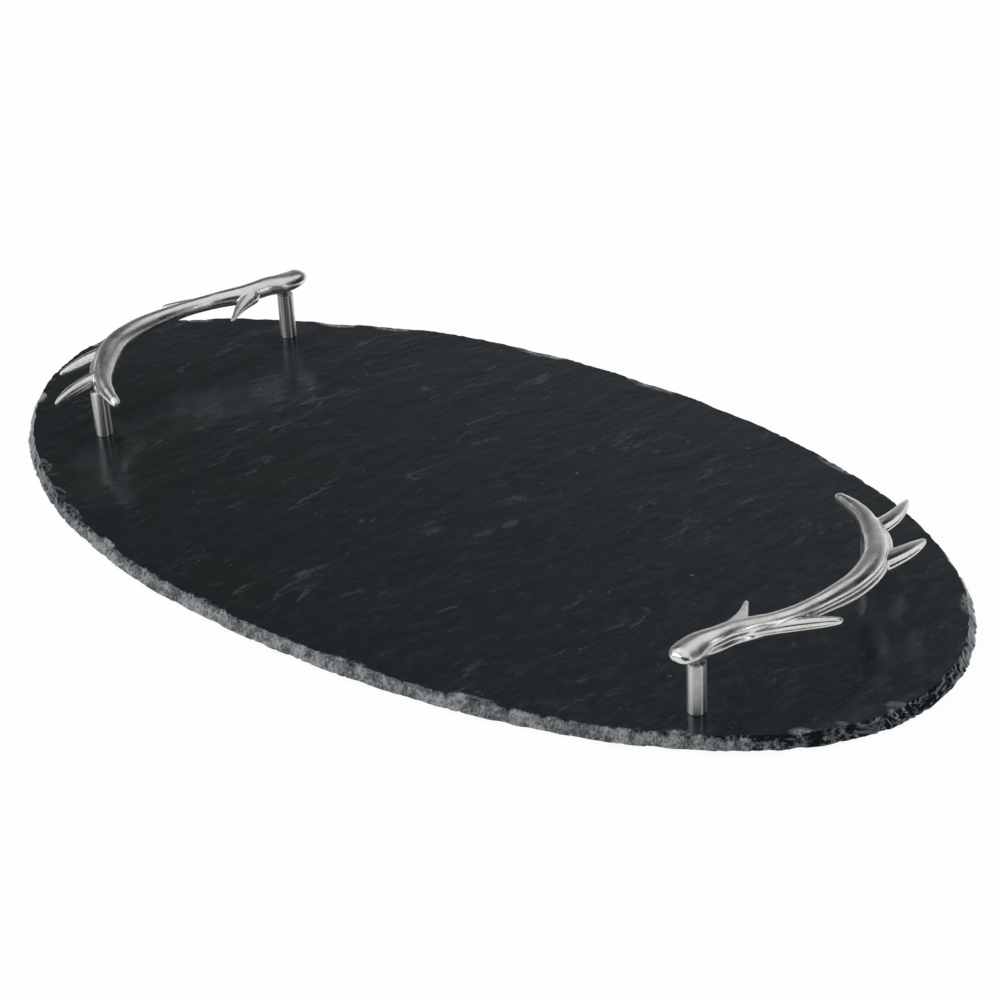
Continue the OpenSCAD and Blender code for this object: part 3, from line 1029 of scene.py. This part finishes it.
@dataclass
class Antler:
    """One casting: a beam with a burr at one end, a palm, a fork and four tines."""

    skin: Material
    pitch: float
    bow: float = 23.5 * MM
    rise: float = 5.3 * MM
    beam_r: float = 4.9 * MM
    reach: float = 29.5 * MM
    tine_r: float = 3.5 * MM
    line_steps: int = 8
    # The seats that the posts' tops stand in, and the bores for the screws
    seat_r: float = 4.4 * MM
    seat_share: float = 1.4
    bore_r: float = 2.05 * MM
    bore_h: float = 4.0 * MM
    # How finely the limbs are melted together, how often that is eased, and the sharp edges
    grain: float = 0.34 * MM
    ease: int = 11
    ease_share: float = 0.5
    sharp_angle: float = 75.0
    # How far the beam reaches below its middle line: its burr half, its fork half, and between
    under_burr: float = 0.80
    under_fork: float = 1.0
    under_runs: Numbers = (-0.10, 0.05)
    # Where along the beam its outer groove fades in and out
    groove_runs: Numbers = (-0.53, -0.43, 0.30, 0.44)
    # The outer half of a limb's section, from crown to foot: a shoulder, a groove and a ridge
    outer_half: Table = (
        (0.0, 1.0), (0.35, 0.94), (0.63, 0.78), (0.79, 0.53), (0.81, 0.28), (0.76, 0.06), (0.79, -0.12),
        (0.91, -0.25), (0.98, -0.44), (0.95, -0.66), (0.78, -0.88), (0.42, -1.0), (0.0, -1.0),
    )
    section_steps: int = 3
    # Lumps of the cast skin: width across, length along, height
    lumps: Table = ((5.5 * MM, 14 * MM, 0.16 * MM), (2.4 * MM, 9 * MM, 0.05 * MM))
    # Along the posts' pitch, out by the bow, up by the rise, half width, half height
    beam_shares: Table = (
        (-0.595, -0.07, 1.28, 0.26, 0.18), (-0.589, -0.07, 1.27, 0.78, 0.46),
        (-0.568, -0.06, 1.22, 1.16, 0.74), (-0.53, -0.05, 1.12, 1.34, 0.92),
        (-0.48, 0.00, 1.14, 1.30, 1.00), (-0.43, 0.11, 1.20, 1.12, 1.00), (-0.37, 0.21, 1.16, 1.03, 0.97),
        (-0.31, 0.36, 1.07, 0.99, 0.95), (-0.24, 0.58, 1.00, 0.90, 0.88), (-0.15, 0.77, 1.01, 0.84, 0.82),
        (-0.065, 0.89, 1.01, 0.86, 0.86), (0.02, 0.97, 0.98, 0.95, 0.94), (0.107, 1.01, 0.96, 1.04, 1.00),
        (0.194, 0.97, 0.95, 1.12, 1.06), (0.265, 0.86, 0.92, 1.16, 1.08), (0.328, 0.68, 0.84, 1.16, 1.04),
        (0.383, 0.47, 0.75, 1.08, 0.94), (0.43, 0.24, 0.67, 0.98, 0.88), (0.465, 0.05, 0.62, 0.88, 0.82),
        (0.497, -0.18, 0.62, 0.78, 0.76), (0.522, -0.41, 0.60, 0.68, 0.66),
        (0.543, -0.66, 0.54, 0.56, 0.56), (0.555, -0.83, 0.48, 0.46, 0.46), (0.56, -0.92, 0.44, 0.26, 0.26),
    )
    palm_shares: Table = (
        (0.250, 0.90, 0.80, 0.50, 0.40), (0.300, 0.80, 0.70, 1.05, 0.70), (0.360, 0.62, 0.60, 1.20, 0.72),
        (0.410, 0.42, 0.52, 1.15, 0.70), (0.450, 0.22, 0.46, 0.90, 0.60), (0.480, 0.06, 0.44, 0.50, 0.40),
    )
    # Where along a tine its shares of girth stand, and the four tines
    run_shares: Numbers = (0, 0.15, 0.35, 0.58, 0.80, 0.96, 1)
    tines: Sequence[Tine] = (
        Tine((0.432, 0.22, 0.48), (1.065, -0.05, -0.03), 1.00, 1.05, 0.07, SLIM, 0.80, 1.0),
        Tine((0.235, 0.84, 0.58), (1.145, 0.20, -0.075), 1.12, 1.05, 0.04, SLIM, 0.95, 1.0),
        Tine((-0.372, 0.30, 1.05), (1.215, 0.879, -0.062), 0.80, 1.25, -0.06, BLUNT, 0.85, 0.8),
        Tine((-0.372, 0.19, 1.00), (0.875, -0.338, -0.062), 1.20, 1.35, 0.04, FIN, 0.85, 0.0),
    )

    def beam_rows(self, shares: Table) -> Array:
        """Return a thick limb's middle line and half sizes in metres, finely stepped.

        Args:
            shares: The limb's rows, by the casting's sizes.

        Returns:
            The rows of the limb.
        """
        scale = np.array([self.pitch, self.bow, self.rise, self.beam_r, self.beam_r])
        return smooth_rows(np.array(shares) * scale, self.line_steps)[:, [1, 0, 2, 3, 4]]

    def tine_rows(self, tine: Tine) -> Array:
        """Return a tine's middle line and half sizes in metres, finely stepped.

        Args:
            tine: The tine.

        Returns:
            The rows of the limb.
        """
        start = np.array([self.bow * tine.root[1], self.pitch * tine.root[0], self.rise * tine.root[2]])
        way = self.reach * np.array([tine.aim[1], tine.aim[0], tine.aim[2]])
        aside = np.array([way[1], -way[0], 0.0])
        aside *= self.reach * tine.bend / np.linalg.norm(aside)
        rows = []
        for run, girth in zip(self.run_shares, tine.girths):
            thick = self.tine_r * tine.thick * girth
            middle = start + way * run + aside * math.sin(math.pi * run)
            rows.append([*middle, thick * tine.flat, thick])
        return smooth_rows(rows, self.line_steps)

    def section(self, groove: float) -> Array:
        """Return the section of a limb, from a plain oval to the full groove.

        Args:
            groove: How much of the groove it has, from 0 to 1.

        Returns:
            Side and height of each point round the limb.
        """
        grooved = smooth_rows(self.outer_half, self.section_steps)
        turn = np.linspace(math.pi / 2, -math.pi / 2, len(grooved))
        plain = np.column_stack([np.cos(turn), np.sin(turn)])
        inner = plain[-2:0:-1] * (-1, 1)
        return np.vstack([plain + groove * (grooved - plain), inner])

    def limb(self, rows: Array, under: Array, groove: Array) -> tuple[list, list]:
        """Sweep the section along the rows.

        Args:
            rows: Middle line, half width and half height of each ring.
            under: How far each ring reaches below its middle, as a share of its half height.
            groove: How much of the groove each ring has, from 0 to 1.

        Returns:
            The points and faces of a closed tube.
        """
        points, faces = [], []
        for i, row in enumerate(rows):
            ahead = rows[min(i + 1, len(rows) - 1), :3] - rows[max(i - 1, 0), :3]
            ahead /= np.linalg.norm(ahead)
            across = np.cross(ahead, (0, 0, 1))
            across /= np.linalg.norm(across)
            lift = np.cross(across, ahead)
            section = self.section(groove[i])
            n = len(section)
            for side, up in section:
                height = up if up > 0 else up * under[i]
                points.append(row[:3] + across * row[3] * side + lift * row[4] * height)
        for i in range(len(rows) - 1):
            for j in range(n):
                k = (j + 1) % n
                faces.append((i * n + j, i * n + k, (i + 1) * n + k, (i + 1) * n + j))
        faces.append(tuple(range(n))[::-1])
        faces.append(tuple((len(rows) - 1) * n + j for j in range(n)))
        return points, faces

    def casting(self) -> Piece:
        """Join the limbs, melt them together, give them a cast skin and cut the seats.

        Returns:
            The casting, with the middle between its posts' tops at the origin.
        """
        beam, palm = self.beam_rows(self.beam_shares), self.beam_rows(self.palm_shares)
        run = beam[:, 1] / self.pitch
        under = np.interp(run, self.under_runs, (self.under_burr, self.under_fork))
        limbs = [(beam, under, np.interp(run, self.groove_runs, (0.0, 1.0, 1.0, 0.0)))]
        limbs.append((palm, np.full(len(palm), self.under_fork), np.zeros(len(palm))))
        for tine in self.tines:
            rows = self.tine_rows(tine)
            limbs.append((rows, np.full(len(rows), tine.under), np.full(len(rows), tine.groove)))
        points, faces = [], []
        for limb in limbs:
            more_points, more_faces = self.limb(*limb)
            faces += [tuple(k + len(points) for k in face) for face in more_faces]
            points += more_points
        made = mesh_piece("casting", points, faces)
        tidy_faces(made)
        melt = made.modifiers.new("melt", "REMESH")
        melt.mode = "VOXEL"
        melt.voxel_size = self.grain
        ease = made.modifiers.new("ease", "SMOOTH")
        ease.factor = self.ease_share
        ease.iterations = self.ease
        apply_modifiers(made)
        self.cast_skin(made)
        heights = (-self.rise * self.seat_share, 0.0, self.bore_h)
        drill(made, self.seat_r, self.bore_r, heights, ((0, -self.pitch / 2), (0, self.pitch / 2)))
        sharpen(made, self.sharp_angle)
        return made

    def cast_skin(self, piece: Piece) -> None:
        """Raise shallow lumps and long grooves on the casting, as on a real antler.

        Args:
            piece: The casting.
        """
        count = len(piece.data.vertices)
        places, normals = np.empty(count * 3), np.empty(count * 3)
        piece.data.vertices.foreach_get("co", places)
        piece.data.vertex_normals.foreach_get("vector", normals)
        places, normals = places.reshape(-1, 3), normals.reshape(-1, 3)
        lift = np.zeros(count)
        for width, length, height in self.lumps:
            shape = (places / (width, length, width)).tolist()
            lift += height * np.array([lump(*place) for place in shape])
        top = places[:, 2].max()
        places += normals * lift[:, None]
        places[:, 2] = np.minimum(places[:, 2], top)
        piece.data.vertices.foreach_set("co", places.ravel())
        piece.data.update()

    def stand(self, source: Piece, side: Side, place: Vector, turn: float) -> None:
        """Set a copy of the casting on one side's posts.

        Args:
            source: The casting at the origin.
            side: The end of the board.
            place: The middle between the posts' tops.
            turn: The angle about the upright axis, in radians.
        """
        made = source.copy()
        made.data = source.data.copy()
        made.name = f"handle_{side.value}"
        bpy.context.scene.collection.objects.link(made)
        made.data.transform(Matrix.Translation(place) @ Matrix.Rotation(turn, 4, "Z"))
        settle(made, self.skin, f"antler_{side.value}")


def spot_name(side: Side, end: End) -> str:
    """Return the name of the spot where a side's post stands at an end of the antler."""
    front = (end is End.BURR) == (side is Side.RIGHT)
    return f"{side.value}_{'front' if front else 'rear'}"


def post_top(side: Side, end: End) -> Vector:
    """Return the middle of a post's top, from the frame."""
    _, height, foot = round_node(f"post_{spot_name(side, end)}")
    return foot + Vector((0, 0, height))


@dataclass
class Handles:
    """Both handles: the castings, and the posts, screws and washers below them."""

    cast_skin: Material
    post_skin: Material
    steel_skin: Material
    post_round: float = 0.4 * MM
    post_sides: int = 72
    post_angle: float = 40.0
    bore_r: float = 2.15 * MM
    # The screw: slimmer than its bore, with a chamfered end, a domed head and a hexagon socket
    shank_r: float = 2.0 * MM
    chamfer: float = 0.5 * MM
    chamfer_share: float = 0.75
    dome_start: float = 0.62
    dome_power: float = 0.8
    dome_points: int = 9
    screw_sides: int = 48
    screw_angle: float = 35.0
    hex_flats: float = 2.5 * MM
    hex_depth: float = 1.2 * MM

    def build(self) -> None:
        """Build the castings, posts and screws, and dress the washers."""
        burr, fork = (post_top(Side.RIGHT, end) for end in End)
        antler = Antler(self.cast_skin, (fork - burr).length)
        source = antler.casting()
        for side in Side:
            burr, fork = (post_top(side, end) for end in End)
            way = fork - burr
            antler.stand(source, side, (burr + fork) / 2, math.atan2(-way.x, way.y))
            for spot in (spot_name(side, end) for end in End):
                self.post(spot)
                self.screw(spot)
                dress(bpy.data.objects[f"washer_{spot}"], self.steel_skin)
        bpy.data.objects.remove(source)

    def post(self, spot: str) -> None:
        """Turn one post, with eased ends.

        Args:
            spot: The name of its spot.
        """
        r, h, foot = round_node(f"post_{spot}")
        profile = [(self.bore_r, 0.0), *rounded((r, 0.0), self.post_round, -90)]
        profile += [*rounded((r, h), self.post_round, 0), (self.bore_r, h)]
        made = turned_piece(f"post_turned_{spot}", profile, self.post_sides, closed=True)
        sharpen(made, self.post_angle)
        shift(made, foot)
        settle(made, self.post_skin, f"post_{spot}")

    def screw(self, spot: str) -> None:
        """Turn one button screw, with its socket below.

        Args:
            spot: The name of its spot.
        """
        head_r, h, foot = round_node(f"screw_{spot}")
        head_h = round_node(f"washer_{spot}")[2].z - foot.z
        angles = np.linspace(self.dome_start, math.pi / 2, self.dome_points)
        dome = [(head_r * math.sin(a), head_h * (1 - math.cos(a)) ** self.dome_power) for a in angles]
        profile = [(r, z - dome[0][1]) for r, z in dome]
        profile += [(head_r, head_h), (self.shank_r, head_h), (self.shank_r, h - self.chamfer)]
        profile.append((self.shank_r * self.chamfer_share, h))
        made = turned_piece(f"screw_turned_{spot}", profile, self.screw_sides, closed=False)
        corner = self.hex_flats / 2 / math.cos(math.radians(30))
        profile = [(corner, -self.hex_depth), (corner, self.hex_depth)]
        cut(made, [turned_piece("socket", profile, 6, closed=False)])
        sharpen(made, self.screw_angle)
        shift(made, foot)
        settle(made, self.steel_skin, f"screw_{spot}")


@dataclass
class Feet:
    """The six soft feet that are stuck under the slate."""

    skin: Material
    edge_round: float = 0.5 * MM
    sides: int = 64
    sharp_angle: float = 60.0
    columns: Sequence[str] = ("left", "middle", "right")
    rows: Sequence[str] = ("front", "rear")
    # The hollow sole, by share of the radius and height, and the side above its round
    sole: Table = ((0.12, 0.18 * MM), (0.45, 0.15 * MM), (0.62, 0.0))
    side: Table = ((1.0, 0.6), (0.985, 1.0))

    def build(self) -> None:
        """Turn each foot with a rounded lower edge and a slightly hollow sole."""
        for spot in (f"{column}_{row}" for column in self.columns for row in self.rows):
            r, h, place = round_node(f"foot_{spot}")
            profile = [(r * share, height) for share, height in self.sole]
            profile += rounded((r, 0.0), self.edge_round, -90)
            profile += [(r * share, h * height) for share, height in self.side]
            made = turned_piece(f"foot_soft_{spot}", profile, self.sides, closed=False)
            sharpen(made, self.sharp_angle)
            shift(made, place)
            settle(made, self.skin, f"foot_{spot}")


# The room and the camera


@dataclass(frozen=True)
class PhotoCamera:
    """A camera that stands where the photograph was taken from."""

    azimuth: float = math.radians(40.69)
    elevation: float = math.radians(30.57)
    distance: float = 1.1667
    target: Numbers = (0.01139, 0.01265, 0.002)
    roll: float = math.radians(2.93)
    lens: float = 93.85
    sensor: float = 36.0

    def build(self) -> None:
        """Place the camera and make it the scene's."""
        data = bpy.data.cameras.new("photo_camera")
        data.lens, data.sensor_width = self.lens, self.sensor
        made = bpy.data.objects.new("photo_camera", data)
        bpy.context.scene.collection.objects.link(made)
        up, level = math.sin(self.elevation), math.cos(self.elevation)
        back = Vector((math.sin(self.azimuth) * level, -math.cos(self.azimuth) * level, up))
        right = (-back).cross(Vector((0, 0, 1))).normalized()
        down = (-back).cross(right)
        turned_right = math.cos(self.roll) * right + math.sin(self.roll) * down
        turned_down = -math.sin(self.roll) * right + math.cos(self.roll) * down
        frame = Matrix((turned_right, -turned_down, back)).transposed().to_4x4()
        frame.translation = Vector(self.target) + back * self.distance
        made.matrix_world = frame
        bpy.context.scene.camera = made


@dataclass(frozen=True)
class SoftBox:
    """One soft box: its place, the place that it faces, its width, its depth and its power."""

    place: Numbers
    aim: Numbers
    width: float
    depth: float
    power: float

    def hang(self, name: str) -> None:
        """Hang the box's lamp.

        Args:
            name: The lamp's name.
        """
        data = bpy.data.lights.new(name, "AREA")
        data.shape, data.size, data.size_y, data.energy = "RECTANGLE", self.width, self.depth, self.power
        lamp = bpy.data.objects.new(name, data)
        bpy.context.scene.collection.objects.link(lamp)
        lamp.location = self.place
        lamp.rotation_euler = (Vector(self.aim) - Vector(self.place)).to_track_quat("-Z", "Y").to_euler()


@dataclass(frozen=True)
class Studio:
    """A white floor, soft boxes and a world that is white at the horizon."""

    floor_half: float = 6.0
    floor_white: float = 0.9
    floor_glow: float = 0.95
    ambient: float = 0.28
    # The sky in a mirror: the heights between which it dims, and its level at each
    sky_band: Numbers = (0.02, 0.62, 1.0, 0.11)
    # The ways to the lit backdrop and to the darker left, each with how the sky's level turns to it
    sky_ways: Sequence[tuple[Numbers, Numbers]] = (
        ((-0.652, 0.758, 0.0), (0.1, 0.7, 0.03, 1.0)),
        ((-0.758, -0.652, 0.0), (-0.2, 0.25, 1.0, 0.3)),
    )
    boxes: Sequence[SoftBox] = (
        SoftBox((0.15, 0.15, 1.35), (0.0, 0.0, 0.0), 2.3, 1.5, 10.0),
        SoftBox((-0.59, -1.03, 0.83), (0.0, 0.0, 0.02), 1.4, 1.3, 11.0),
        SoftBox((-0.92, -0.16, 1.04), (0.0, 0.0, 0.02), 1.0, 1.0, 2.5),
        SoftBox((1.35, 0.05, 0.60), (0.0, 0.0, 0.02), 0.22, 0.8, 1.5),
    )

    def floor(self) -> None:
        """Lay the floor at the height that the feet stand on, white to a look and matt to the light."""
        half = self.floor_half
        corners = [(-half, -half, 0), (half, -half, 0), (half, half, 0), (-half, half, 0)]
        made = mesh_piece("floor", corners, [(0, 1, 2, 3)])
        skin = bpy.data.materials.new("white floor")
        skin.use_nodes = True
        skin.node_tree.nodes.clear()
        sheet = Sheet(skin.node_tree)
        matt = sheet.add("ShaderNodeBsdfDiffuse", {"Color": (*(self.floor_white,) * 3, 1.0)}).outputs[0]
        glow = sheet.add("ShaderNodeEmission", {"Color": (1, 1, 1, 1), "Strength": 1.0}).outputs[0]
        path = sheet.add("ShaderNodeLightPath").outputs
        seen = sheet.sum("MAXIMUM", path["Is Camera Ray"], path["Is Glossy Ray"])
        share = sheet.times(sheet.sum("MAXIMUM", seen, path["Is Transmission Ray"]), self.floor_glow)
        both = sheet.add("ShaderNodeMixShader", {0: share, 1: matt, 2: glow}).outputs[0]
        sheet.add("ShaderNodeOutputMaterial", {"Surface": both})
        made.data.materials.append(skin)

    def world(self) -> None:
        """Make a plain grey sky that a look into it shows white near the horizon."""
        world = bpy.data.worlds.new("studio")
        bpy.context.scene.world = world
        world.use_nodes = True
        world.node_tree.nodes.clear()
        sheet = Sheet(world.node_tree)
        up = sheet.add("ShaderNodeTexCoord").outputs["Generated"]
        rise = sheet.add("ShaderNodeSeparateXYZ", {"Vector": up}).outputs["Z"]
        sky = sheet.band(rise, *self.sky_band)
        for way, spans in self.sky_ways:
            dot = sheet.add("ShaderNodeVectorMath", {0: up, 1: way}, operation="DOT_PRODUCT").outputs["Value"]
            sky = sheet.times(sky, sheet.band(dot, *spans))
        path = sheet.add("ShaderNodeLightPath").outputs
        mirrored = sheet.sum("MAXIMUM", path["Is Glossy Ray"], path["Is Transmission Ray"])
        light = sheet.add("ShaderNodeMapRange", {"Value": mirrored, "To Min": self.ambient, "To Max": sky})
        looked_at = {"Value": path["Is Camera Ray"], "To Min": light.outputs["Result"], "To Max": 1.0}
        level = sheet.add("ShaderNodeMapRange", looked_at).outputs["Result"]
        glow = sheet.add("ShaderNodeBackground", {"Strength": level}).outputs[0]
        sheet.add("ShaderNodeOutputWorld", {"Surface": glow})

    def build(self) -> None:
        """Lay the floor, hang the soft boxes and set the plain view."""
        self.floor()
        self.world()
        for number, box in enumerate(self.boxes):
            box.hang(f"soft_box_{number}")
        bpy.context.scene.view_settings.view_transform = "Standard"


def main() -> None:
    """Build every piece in order and report each one."""
    logging.basicConfig(level=logging.INFO, format="%(name)s: %(message)s")
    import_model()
    PhotoCamera().build()
    Studio().build()
    cast = WhiteMetal("cast white metal").make()
    bright = WhiteMetal("turned posts", smooth=0.34, worn=0.40, smear_size=60.0, turned=1.0).make()
    grey, dark = (0.50, 0.50, 0.50), (0.36, 0.35, 0.34)
    steel = WhiteMetal("screw steel", grey, dark, smooth=0.28, worn=0.42, smear_size=150.0).make()
    screw_places = [tuple(post_top(side, end).xy) for side in Side for end in End]
    Slate(RivenSlate().make(), screw_places).build()
    Handles(cast, bright, steel).build()
    Feet(SoftRubber().make()).build()


if __name__ == "__main__":
    main()
